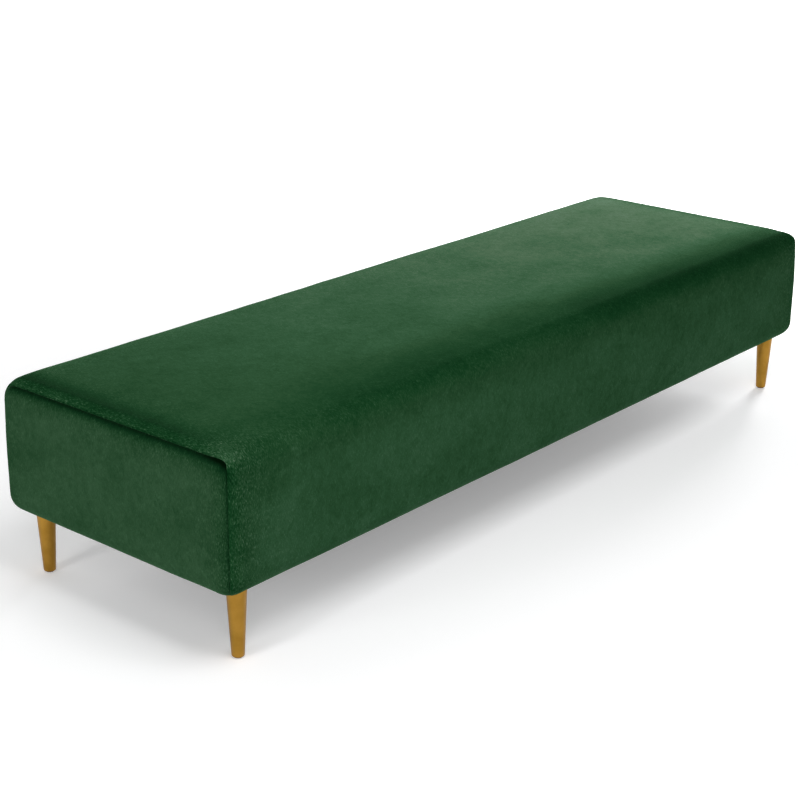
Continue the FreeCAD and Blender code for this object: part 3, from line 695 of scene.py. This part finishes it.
pileAndShade = {
    # How bright the cloth stands against its own middle tone, as judged, and by measuring the render against the
    # photograph. Most of it is painted light and shade: painted sheen on the top, a band along the front roll that is
    # partly the pile opening and partly painted shade, painted shade beside the seams and painted highlights on the
    # lip and at a front corner
    # the top: painted sheen that lightens it to the right and to the back; the side: lighter lower down
    "top": (0.78, 1.35, 1.1), "topAcross": (0.86, 0.26), "side": (0.9, 0.16),
    # the band along the front roll, partly the pile opening and partly painted shade, with pairs for the left end and
    # the right
    "band": (0.56, 0.36), "bandStart": (-200, -130), "bandFull": (-25, 20), "bandOff": (0, 12), "bandOffWidth": 88,
    "backBand": 0.5,
    # where something starts, along X, down the roll or in from the seam, and over how many mm it comes on
    "toRight": (-900, 1700), "bandFromLeft": (-900, 300), "bandDarker": (-300, 800),
    "backBandRise": (-10, 40), "sideRise": (60, 120), "farRise": (25, 45),
    # the strips of painted shade beside the seams, and the painted highlight on the lip
    "seamTop": 0.55, "seamMiddle": 27, "seamIn": 30, "seamOut": 12, "seamToBack": 0.25,
    "lipDark": 0.3, "lipDarkReach": 14, "lipLight": 0.2, "lipLightAt": 4.5, "lipLightWidth": 2.2,
    "seamSide": 0.46, "seamSideReach": 30, "farSeam": 0.3,
    # the front corners, with a painted highlight and painted shade, from a point so far down the roll and so far from
    # the seam
    "cornerAt": (20, 8), "cornerReach": 87, "cornerGlow": 0.22, "glowReach": 42, "glowLost": 0.6,
    "cornerDark": 0.3, "cornerDarkAt": 45, "cornerDarkWidths": (25, 14),
    # the end panels: painted shade under the top seam, beside the upright ones and at the front corner
    "end": 0.92, "endWide": 0.2, "endWideReach": 60, "endTop": 0.6, "endFrom": 3, "endReach": 12,
    "endSide": 0.42, "endSideReach": 20, "endLip": 0.12, "endCorner": 0.25, "endCornerIn": 12, "endCornerReach": 45,
    # painted shade on the cloth inside the seam
    "tucked": 0.3,  # inside the seam
}
combing = {
    # how far the seams, the roll and the corners have combed the pile into strokes
    "least": 0.25, "seam": 0.75, "seamReach": 60, "roll": 0.3, "rollAt": 15, "rollWidth": 50,
    "corner": 0.3, "cornerReach": 90, "most": 1.1, "endLeast": 0.22, "endSeam": 0.7, "endReach": 28,
}


def laidAndShaded(bright):
    return np.clip(velvetLook["middle"] * bright, 0, 1)


def stripPileAndShade(part, unrolled, d):
    # The tone of the long panel at distance d from its seam, most of it painted light and shade. Painted sheen
    # lightens the top towards the right end and the back. Along the front roll lies a dark band, partly the pile
    # opening and partly painted shade, that comes on slowly over the top, goes off faster down the side and fades
    # out at the left end; the side is lighter lower down. Beside the end seams lie strips of painted shade with a
    # painted highlight on the lip; at the front corners they give way, to a painted highlight at the left one and
    # painted shade down the side below the corners
    s, y, onTop = part["overRoll"][:, None], part["y"][:, None], facingUp(part)
    share = np.clip((unrolled + b["halfLength"]) / (2 * b["halfLength"]), 0, 1)
    flatY = b["halfWidth"] - b["topRoll"]  # where the flat top ends
    toRight = easeIn(unrolled, *pileAndShade["toRight"])
    least, gain, power = pileAndShade["top"]
    atFront, toBack = pileAndShade["topAcross"]
    # painted sheen: lighter towards the right end and towards the back
    bright = (least + gain * share ** power) * (atFront + toBack * np.clip((y + flatY) / (2 * flatY), 0, 1))
    # the dark band along the front roll, partly the pile opening and partly painted shade
    start, full = between(pileAndShade["bandStart"], toRight), between(pileAndShade["bandFull"], toRight)
    band = easeIn(s, start, full - start) * easeIn(unrolled, *pileAndShade["bandFromLeft"])
    band = np.where(y < 0, band, pileAndShade["backBand"] * easeIn(s, *pileAndShade["backBandRise"]))
    bright = bright + (between(pileAndShade["band"], easeIn(unrolled, *pileAndShade["bandDarker"])) - bright) * band
    # the side, lighter lower down
    side = pileAndShade["side"][0] + pileAndShade["side"][1] * easeIn(s, *pileAndShade["sideRise"])
    bright = bright + (side - bright) * easeIn(s, between(pileAndShade["bandOff"], toRight), pileAndShade["bandOffWidth"])

    # painted shade in strips beside the seams, with a painted highlight on the lip, weaker beside the right seam and
    # less at the front corners
    width = np.where(d > pileAndShade["seamMiddle"], pileAndShade["seamIn"], pileAndShade["seamOut"])
    strip = pileAndShade["seamTop"] * bell(d - pileAndShade["seamMiddle"], width) * (1 + pileAndShade["seamToBack"] * y / b["halfWidth"])
    strip = strip + pileAndShade["lipDark"] * np.exp(-(d / pileAndShade["lipDarkReach"]) ** 4)
    strip = strip - pileAndShade["lipLight"] * bell(d - pileAndShade["lipLightAt"], pileAndShade["lipLightWidth"])
    strip = np.where(unrolled > 0, pileAndShade["farSeam"] * (1 - easeIn(d, *pileAndShade["farRise"])), strip)
    fromCorner = np.hypot(s - pileAndShade["cornerAt"][0], d - pileAndShade["cornerAt"][1])
    strip = strip * (1 - bell(fromCorner, pileAndShade["cornerReach"]) * (y < 0))
    # painted shade beside the upright seams and down the side below the front corners
    down, inwards = pileAndShade["cornerDarkWidths"]
    edge = pileAndShade["seamSide"] * np.exp(-d / pileAndShade["seamSideReach"])
    edge = edge + pileAndShade["cornerDark"] * bell(s - pileAndShade["cornerDarkAt"], down) * bell(d, inwards)
    bright = bright * (1 - np.clip(strip * onTop + edge * (1 - onTop), 0, 1))
    # a painted highlight at the left front corner, weaker on the side
    glow = pileAndShade["cornerGlow"] * bell(fromCorner, pileAndShade["glowReach"]) * (y < 0)
    bright = bright + glow * (1 - pileAndShade["glowLost"] * (1 - onTop)) * (unrolled < 0)
    c = combing
    combed = c["least"] + c["seam"] * np.exp(-(d / c["seamReach"]) ** 1.5)
    combed = combed + c["roll"] * bell(s - c["rollAt"], c["rollWidth"])
    combed = combed + c["corner"] * bell(fromCorner, c["cornerReach"])
    return laidAndShaded(bright), np.clip(combed, 0, c["most"])


def endPileAndShade(part, points, d):
    # The tone of an end panel: painted shade under the top seam, less of it beside the upright ones, and at the front
    # corner
    onTop = facingUp(part)
    above = pileAndShade["endWide"] * np.exp(-d / pileAndShade["endWideReach"])
    above = above + pileAndShade["endTop"] * np.exp(-(np.maximum(d - pileAndShade["endFrom"], 0) / pileAndShade["endReach"]) ** 1.5)
    beside = pileAndShade["endSide"] * np.exp(-d / pileAndShade["endSideReach"]) + pileAndShade["endLip"] * bell(d, pileAndShade["endFrom"])
    y, z = points[..., 1] + b["halfWidth"] - pileAndShade["endCornerIn"], points[..., 2] - b["top"] + pileAndShade["endCornerIn"]
    corner = pileAndShade["endCorner"] * bell(np.hypot(y, z), pileAndShade["endCornerReach"])
    bright = pileAndShade["end"] - above * onTop - beside * (1 - onTop) - corner
    return laidAndShaded(bright), combing["endLeast"] + combing["endSeam"] * np.exp(-d / combing["endReach"])


def listed(grid):
    return grid.reshape(-1, 3) if grid.ndim == 3 else grid.ravel()


def longPanel(inset=0.0, fine=1.0, sewn=True):
    # The strip over front, top and back. Its columns are even in the middle and crowd towards both seams
    part = outerPart(wholeSection(section(fine), closed=False))
    reach = rollStart + b["endRoll"] * math.radians(b["sideSeamTurn"])
    bent = rollStart - b["stretchIn"]
    columns = mirroredStops(
        (bent - 60, 62 * fine), (bent + 30, 13 * fine), (rollStart, 13 * fine), (reach - 9, 9 * fine),
        (reach, 11 * fine))
    seam = part["seam"][:, None]
    stretched = bent + (np.abs(columns) - bent) * (seam - bent) / (reach - bent)
    unrolled = np.where(np.abs(columns) > bent, np.sign(columns) * stretched, columns + 0 * seam)
    fromSeam = seam - np.abs(unrolled)
    points, outward = onBlock(part, unrolled)
    along = part["length"][:, None] + 0 * unrolled
    swell = lookUp(stripGrowth, (along - stripSpan[0]) / (stripSpan[1] - stripSpan[0]), (unrolled / seam + 1) / 2)
    points = settled(points + outward * (swell * unheld(outward))[..., None], outward)
    dip = b["lip"] * bell(fromSeam - b["lipAt"], b["lipWidth"]) - seamDepth(part) * bell(fromSeam, b["creaseWidth"])
    points = finished(points, outward, fromSeam, along + np.sign(unrolled) * b["seamShift"], dip, inset, sewn)
    layAndShade, combed = stripPileAndShade(part, unrolled, fromSeam)
    place = np.stack([unrolled * mm, along * mm, 0 * along], -1)
    values = {"panelPlace": place, "pileLay": layAndShade, "pileCombed": combed}
    if sewn:  # the turned-in allowance goes straight in from each seam
        turnedIn = [points[:, [k]] - outward[:, [k]] * b["allowance"] for k in (0, -1)]
        points = np.concatenate([turnedIn[0], points, turnedIn[1]], 1)
        values = {key: np.concatenate([v[:, :1], v, v[:, -1:]], 1) for key, v in values.items()}
        # painted shade on the turned-in allowance
        values["pileLay"][:, [0, -1]] = laidAndShaded(pileAndShade["tucked"])
    faces = gridFaces(*points.shape[:2])
    return points.reshape(-1, 3), faces, {key: listed(v) for key, v in values.items()}


def endPanel(end, inset=0.0, fine=1.0, sewn=True):
    # One sewn-in end: rings that start at the seam, come over the roll to the flat face and close in on its middle
    part = wholeSection(section(fine), closed=True)
    rings = stops(1, (0.72, 9 * fine), (0, 13 * fine))
    seam = part["seam"][:, None]
    unrolled = faceStart - (faceStart - seam) * rings
    points, outward = onBlock(part, end * unrolled)
    flatY, flatZ = points[:, -1:, 1], points[:, -1:, 2]
    scale = stops(1, (0.85, 6 * fine), (0.04, 26 * fine))[1:]
    face = np.stack([end * b["halfLength"] + 0 * flatY * scale, flatY * scale, midUp + (flatZ - midUp) * scale], -1)
    points = np.concatenate([points, face], 1)
    outward = np.concatenate([outward, np.broadcast_to([float(end), 0, 0], face.shape)], 1)
    depth = np.linalg.norm(face - points[:, len(rings) - 1:len(rings)], axis=-1)
    fromSeam = np.concatenate([unrolled - seam, (faceStart - seam) + depth], 1)
    overRoll = np.concatenate([faceStart - unrolled, 0 * face[..., 0]], 1)
    flat = np.stack([
        points[..., 1] * (overRoll == 0) + (flatY + part["ny"][:, None] * overRoll) * (overRoll > 0),
        points[..., 2] * (overRoll == 0) + (flatZ + part["nz"][:, None] * overRoll) * (overRoll > 0)], -1)
    upShare = (points[..., 2] - b["low"]) / (b["top"] - b["low"])
    sideShare = (b["halfWidth"] - points[..., 1]) / (2 * b["halfWidth"])
    swell = lookUp(endGrowth, upShare, sideShare) * easeIn(fromSeam, 0, stuffing["endFrom"]) * unheld(outward)
    points = settled(points + outward * swell[..., None], outward)
    dip = b["hollowShare"] * np.exp(-(fromSeam / b["hollowWidth"]) ** b["hollowPower"])
    dip = -(dip + (1 - b["hollowShare"]) * bell(fromSeam, b["stitchWidth"])) * seamDepth(part)
    alongSeam = part["length"][:, None] + end * b["seamShift"] + 0 * fromSeam
    points = finished(points, outward, fromSeam, alongSeam, dip, inset, sewn)
    layAndShade, combed = endPileAndShade(part, points, fromSeam)
    place = np.concatenate([flat * mm, 0 * flat[..., :1]], -1) + [end * velvetLook["apart"], 0, 0]
    values = {"panelPlace": place, "pileLay": layAndShade, "pileCombed": combed}
    if sewn:
        points = np.concatenate([points[:, :1] - outward[:, :1] * b["allowance"], points], 1)
        values = {key: np.concatenate([v[:, :1], v], 1) for key, v in values.items()}
        # painted shade on the turned-in allowance
        values["pileLay"][:, 0] = laidAndShaded(pileAndShade["tucked"])
    rows, count = points.shape[:2]
    faces = gridFaces(rows, count, closed=True)
    last = np.arange(rows) * count + count - 1
    cap = np.stack([last, last * 0 + rows * count, np.roll(last, -1)], -1)
    if end < 0:
        faces, cap = faces[:, ::-1], cap[:, ::-1]
    middle = {
        "panelPlace": [end * velvetLook["apart"], midUp * mm, 0], "pileLay": laidAndShaded(pileAndShade["end"]),
        "pileCombed": combing["endLeast"]}
    values = {key: np.concatenate([listed(v), [middle[key]]]) for key, v in values.items()}
    return np.concatenate([points.reshape(-1, 3), [points[:, -1].mean(0)]]), faces.tolist() + cap.tolist(), values


points, faces, values = longPanel()
coverLong = makePiece("coverLongPanel", points, faces, velvetCloth, values)
thicken(coverLong, b["cloth"])
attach(coverLong, "root")
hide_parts("cover_wrap")
for name, end in (("Left", left), ("Right", right)):
    points, faces, values = endPanel(end)
    panel = makePiece("coverEnd" + name, points, faces, velvetEnds, values)
    thicken(panel, b["cloth"])
    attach(panel, "root")
    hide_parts("cover_end_" + name.lower())
print("velvet cover made")

leg = {
    "footRadius": 12, "topRadius": 19.2, "low": 2.5, "top": 136, "footRound": 1.8,
    "topEdge": (0.5, 0.6), "shaftFrom": 8, "boreRadius": 4.2, "boreFloor": 116, "places": (939, 262), "facets": 72,
}
glide = {"radius": 8.5, "thickness": 2.5, "round": 0.9, "facets": 48}


def turned(profile, facets):
    # A profile of (radius, height) spun round the Z axis: x = radius * cos(angle), y = radius * sin(angle)
    radius, height = np.array(profile, float).T[:, None, :]
    angle = np.linspace(0, 2 * math.pi, facets, endpoint=False)[:, None]
    points = np.stack([radius * np.cos(angle), radius * np.sin(angle), height + 0 * angle], -1)
    return merged(points.reshape(-1, 3), gridFaces(facets, len(profile), closed=True)[:, ::-1])


def roundedEdge(radius, low, edge, steps):
    # up round the edge of a disc's underside
    sweep = np.radians(np.linspace(0, 90, steps))
    return np.stack([radius - edge + edge * np.sin(sweep), low + edge * (1 - np.cos(sweep))], -1)


def legProfile():
    # up the outside from the middle of the foot, round its edge, and down the stud's bore
    lean = (leg["topRadius"] - leg["footRadius"]) / (leg["top"] - leg["low"])
    foot = roundedEdge(leg["footRadius"], leg["low"], leg["footRound"], 7)
    edgeIn, edgeDown = leg["topEdge"]
    heights = np.linspace(leg["low"] + leg["shaftFrom"], leg["top"] - edgeDown, 24)
    shaft = np.stack([leg["footRadius"] + lean * (heights - leg["low"]), heights], -1)
    top = [(leg["topRadius"] - edgeIn, leg["top"]), (leg["boreRadius"], leg["top"]),
           (leg["boreRadius"], leg["boreFloor"]), (0, leg["boreFloor"])]
    return np.concatenate([[(0, leg["low"])], foot, shaft, top])


def glideProfile():
    # across the face that stands on the floor and round its edge
    rim = roundedEdge(glide["radius"], 0, glide["round"], 6)
    top = [(glide["radius"], glide["thickness"]), (0, glide["thickness"])]
    return np.concatenate([[(0, 0), (glide["radius"] * 0.5, 0)], rim, top])


for sideName, side in (("Front", front), ("Back", back)):
    for endName, end in (("Left", left), ("Right", right)):
        spot = np.array([end * leg["places"][0], side * leg["places"][1], 0])
        for kind, profile, facets, material, slot in (
            ("leg", legProfile(), leg["facets"], gold, "gold_leg"),
            ("glide", glideProfile(), glide["facets"], nylon, "nylon"),
        ):
            points, faces = turned(profile, facets)
            piece = makePiece(kind + sideName + endName, points + spot, faces, material)
            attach(piece, "root")
            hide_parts(f"{kind}_{sideName.lower()}_{endName.lower()}")
print("legs and glides made")

dust = {
    "halfLength": 955, "halfWidth": 265, "height": 135.6, "thickness": 0.35, "sag": 1.1,
    "sagOver": 120, "ripple": 0.25, "rippleReach": 14,
    "legRoom": 22.2, "stapleEvery": 46, "stapleFromEdge": 8, "rowEnds": (880, 207), "stapleOff": (1.5, 0.8, 0.12),
}
staple = {"crown": 10.5, "wire": 0.9, "rise": 0.55, "bend": 0.5, "flatness": 0.7, "sunk": 0.75}


def dustCover():
    # A stretched sheet on a plain grid: it lies up against the frame at the staples, ripples between them and
    # hangs a little further in. Points that fall on a leg move out to the rim of its round cut-out
    x = mirroredStops((880, 60), (dust["halfLength"], 34))
    y = mirroredStops((200, 16), (dust["halfWidth"], 30))
    gridX, gridY = np.meshgrid(x, y, indexing="ij")
    edge = np.minimum(dust["halfLength"] - np.abs(gridX), dust["halfWidth"] - np.abs(gridY))
    points = np.stack([gridX, gridY, 0 * gridX], -1)
    slack = softWaves(points, seed=23, shortest=60, longest=300) * 0.5 + 0.5
    ripple = 0.5 + 0.5 * np.cos(2 * math.pi * (gridX + gridY) / dust["stapleEvery"])
    points[..., 2] = dust["height"] - dust["sag"] * slack * easeIn(edge, 0, dust["sagOver"])
    points[..., 2] -= dust["ripple"] * ripple * bell(edge, dust["rippleReach"])
    toLeg = np.abs(points[..., :2]) - leg["places"]
    distance = np.linalg.norm(toLeg, axis=-1)
    inside = distance < dust["legRoom"]
    moved = toLeg / np.maximum(distance, 1e-6)[..., None] * dust["legRoom"] + leg["places"]
    points[..., :2] = np.where(inside[..., None], np.sign(points[..., :2]) * moved, points[..., :2])
    faces = gridFaces(len(x), len(y))
    faces = faces[~inside.ravel()[faces].all(1)]
    used = np.unique(faces)
    return points.reshape(-1, 3)[used], np.searchsorted(used, faces)[:, ::-1]


points, faces = dustCover()
dustSheet = makePiece("dustCover", points, faces, spun)
thicken(dustSheet, dust["thickness"])
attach(dustSheet, "root")
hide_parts("dust_cover")


def stapleRow():
    # where the staples sit: (x, y, turn about Z), in rows along the four edges, each a little off its place
    lineX = dust["halfLength"] - dust["stapleFromEdge"]
    lineY = dust["halfWidth"] - dust["stapleFromEdge"]
    x, y = (np.arange(-last, last + 1, dust["stapleEvery"]) for last in dust["rowEnds"])
    rows = [np.stack([x, 0 * x + side * lineY, 0 * x], -1) for side in (front, back)]
    rows += [np.stack([0 * y + end * lineX, y, 0 * y + math.pi / 2], -1) for end in (left, right)]
    spots = np.concatenate(rows).astype(float)
    return spots + np.random.default_rng(4).normal(size=spots.shape) * dust["stapleOff"]


def staplePieces(spots):
    # A flat wire whose ends turn up into the frame: a square section at four places along it, turned about Z
    # and moved to every spot at once
    half, w = staple["crown"] / 2, staple["wire"] / 2
    bend, thick = staple["bend"], staple["wire"] * staple["flatness"]
    line = np.array([(-half, staple["rise"]), (-half + bend, 0), (half - bend, 0), (half, staple["rise"])])
    ring = np.array([(-w, 0), (w, 0), (w, thick), (-w, thick)])
    one = np.stack([
        np.repeat(line[:, 0], 4), np.tile(ring[:, 0], 4), np.repeat(line[:, 1], 4) - np.tile(ring[:, 1], 4)], -1)
    cos, sin = np.cos(spots[:, 2:]), np.sin(spots[:, 2:])
    points = np.stack([
        spots[:, :1] + cos * one[:, 0] - sin * one[:, 1],
        spots[:, 1:2] + sin * one[:, 0] + cos * one[:, 1],
        dust["height"] - staple["sunk"] + one[:, 2] + 0 * cos], -1)
    k, i = np.meshgrid(np.arange(3) * 4, np.arange(4), indexing="ij")
    sides = np.stack([k + 4 + i, k + 4 + (i + 1) % 4, k + (i + 1) % 4, k + i], -1).reshape(-1, 4)
    faces = np.concatenate([sides, [(0, 1, 2, 3), (15, 14, 13, 12)]])
    return points.reshape(-1, 3), (faces + 16 * np.arange(len(spots))[:, None, None]).reshape(-1, 4)


spots = stapleRow()
points, faces = staplePieces(spots)
staples = makePiece("dustCoverStaples", points, faces, zinc)
staples.data.polygons.foreach_set("use_smooth", np.zeros(len(staples.data.polygons), bool))
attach(staples, "root")
print("dust cover made with", len(spots), "staples")

padding = {"waddingInset": 2.2, "waddingThickness": 5.0, "waddingFine": 0.55, "foamRound": 32, "foamEase": 0.4}
parts = [longPanel(padding["waddingInset"], padding["waddingFine"], sewn=False)[:2]]
parts += [endPanel(end, padding["waddingInset"], padding["waddingFine"], sewn=False)[:2] for end in (left, right)]
starts = np.cumsum([0] + [len(part[0]) for part in parts])
faces = [[int(k) + start for k in face] for part, start in zip(parts, starts) for face in part[1]]
waddingPiece = makePiece("waddingLayer", np.concatenate([part[0] for part in parts]), faces, waddingFibre)
thicken(waddingPiece, padding["waddingThickness"])
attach(waddingPiece, "root")
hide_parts("wadding")


def foamPad(low, high, roundLow, roundHigh, radius):
    # A block with rounded edges, cut flat where a side isn't rounded. Each point of a plain box moves away
    # from the nearest point of a smaller box, to as far as its largest step from it: on the outside that is
    # the radius, and inside a cut face it turns the square corners into round ones
    low, high = np.array(low, float), np.array(high, float)
    innerLow, innerHigh = low + radius * np.array(roundLow), high - radius * np.array(roundHigh)
    onRound, onFlat = 7, 10  # how many points lie across a rounded edge and along a flat
    lines = [np.unique(np.concatenate([
        np.linspace(low[k], innerLow[k], onRound), np.linspace(innerLow[k], innerHigh[k], onFlat),
        np.linspace(innerHigh[k], high[k], onRound)]).round(6)) for k in range(3)]
    points, faces, start = [], [], 0
    for axis in range(3):
        a, c = (axis + 1) % 3, (axis + 2) % 3
        for value, way in ((low[axis], -1), (high[axis], 1)):
            gridA, gridC = np.meshgrid(lines[a], lines[c], indexing="ij")
            grid = np.zeros(gridA.shape + (3,))
            grid[..., axis], grid[..., a], grid[..., c] = value, gridA, gridC
            quads = gridFaces(len(lines[a]), len(lines[c]))
            faces.append((quads[:, ::-1] if way > 0 else quads) + start)
            points.append(grid.reshape(-1, 3))
            start += gridA.size
    points, faces = np.concatenate(points), np.concatenate(faces)
    step = points - np.clip(points, innerLow, innerHigh)
    reach = np.linalg.norm(step, axis=1)[:, None]
    largest = np.abs(step).max(1)[:, None]
    points = points - step + step * largest / np.maximum(reach, 1e-9)
    return merged(points, faces)


for node, roundLow, roundHigh in (
    ("seat_foam", (1, 1, 0), (1, 1, 1)),
    ("front_side_pad", (1, 1, 1), (1, 0, 0)), ("back_side_pad", (1, 0, 1), (1, 1, 0)),
    ("left_end_pad", (1, 0, 1), (0, 0, 0)), ("right_end_pad", (0, 0, 1), (1, 0, 0)),
):
    low, high = (np.array(corner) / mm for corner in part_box(node))
    low, high = low + padding["foamEase"], high - padding["foamEase"]
    radius = min(padding["foamRound"], 0.98 * (high - low)[np.array(roundLow) + np.array(roundHigh) > 0].min())
    points, faces = foamPad(low, high, roundLow, roundHigh, radius)
    words = node.split("_")
    pad = makePiece(words[0] + "".join(w.capitalize() for w in words[1:]), points, faces, foam)
    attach(pad, "root")
    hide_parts(node)
print("wadding and foam made")

finishes = {
    planedWood("planedPineLengthwise", "x", "e3c796", "c99c62", 3.0): ["front_rail", "back_rail"],
    planedWood("planedPineCrosswise", "y", "e3c796", "c99c62", 3.0): [
        "left_rail", "right_rail", "cross_rail_1", "cross_rail_2", "cross_rail_3"],
    planedWood("planedBeechUpright", "z", "d3ab7f", "b98a5c", 1.6): [
        f"corner_block_{side}_{end}" for side in ("front", "back") for end in ("left", "right")],
    birchPlywood("birchPlywoodLongBoards", "y"): ["front_board", "back_board"],
    birchPlywood("birchPlywoodCrossBoards", "x"): ["left_end_board", "right_end_board", "rib_1", "rib_2", "rib_3"],
    birchPlywood("birchPlywoodDeck", "z"): ["deck_board"],
    zinc: ["leg_studs", "rail_inserts"],
}
for material, names in finishes.items():
    for name in names:
        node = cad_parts[name]
        node.data.materials.clear()
        node.data.materials.append(material)
print("timber and steel finished")

low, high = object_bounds()
